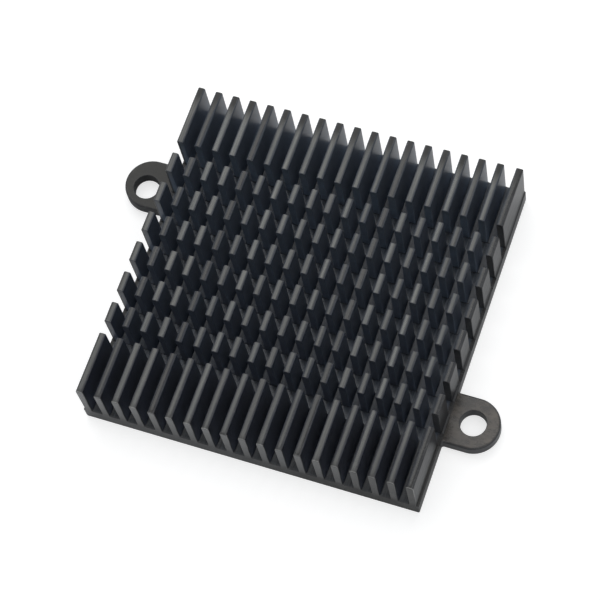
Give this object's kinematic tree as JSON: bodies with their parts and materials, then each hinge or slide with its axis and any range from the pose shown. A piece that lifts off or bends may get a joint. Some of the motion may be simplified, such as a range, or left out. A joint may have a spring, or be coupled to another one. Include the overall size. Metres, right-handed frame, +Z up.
{
  "type": "pin fin heat sink",
  "caption": "Square black anodised aluminium heat sink with rows of cross-cut pin fins on a flat base and two diagonal ears with holes for fixing it over a chip.",
  "frame": {"origin": "centre of the base's flat underside", "axes": "+X across the fins, towards the ear that is nearer the front; +Y along the fins, towards the rear; +Z up through the fins"},
  "size_m": [0.062, 0.048, 0.0092],
  "materials": {
    "black_anodised": "black anodised, satin"
  },
  "bodies": {
    "root": {"heat_sink": "black_anodised"}
  },
  "joints": []
}
